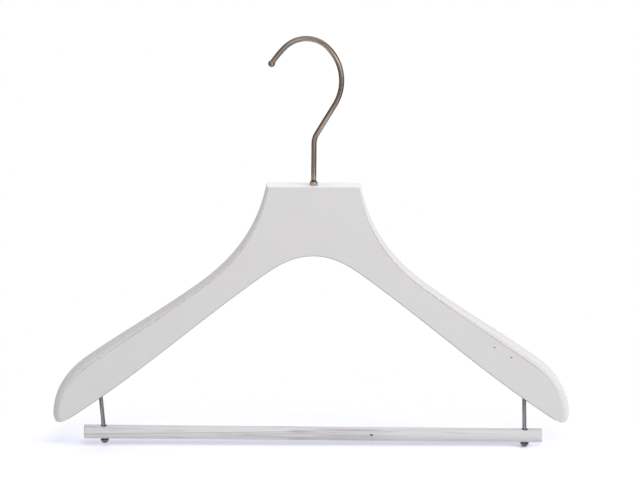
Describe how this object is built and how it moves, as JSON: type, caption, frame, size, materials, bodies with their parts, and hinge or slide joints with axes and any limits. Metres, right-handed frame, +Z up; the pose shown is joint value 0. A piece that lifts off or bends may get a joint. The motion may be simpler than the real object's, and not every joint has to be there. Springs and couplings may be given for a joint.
{
  "type": "trouser hanger",
  "caption": "Painted wooden jacket hanger with contoured arms, a swivel wire hook and a round trouser bar carried on two headed pins.",
  "frame": {"origin": "rail seat, the highest point inside the hook's crown", "axes": "+X along the arms, +Y towards the back face, +Z up"},
  "size_m": [0.45, 0.016, 0.3673],
  "materials": {
    "painted_wood": "satin paint",
    "antique_brass": "antiqued",
    "dark_steel": "darkened"
  },
  "bodies": {
    "hook": {"hook_wire": "antique_brass", "hook_tip_ball": "antique_brass"},
    "hanger_body": {"left_arm": "painted_wood", "right_arm": "painted_wood", "hook_ferrule": "antique_brass", "left_bar_pin": "dark_steel", "right_bar_pin": "dark_steel"},
    "bar": {"trouser_bar": "painted_wood"}
  },
  "joints": [
    {"name": "hook_swivel", "type": "hinge", "parent": "hook", "child": "hanger_body", "pos_m": [0.00721, 0, -0.12522], "axis": [0, 0, 1], "continuous": true},
    {"name": "bar_lift", "type": "slide", "parent": "hanger_body", "child": "bar", "axis": [-0.0567, 0, 0.9984], "range_m": [0, 0.015]}
  ]
}
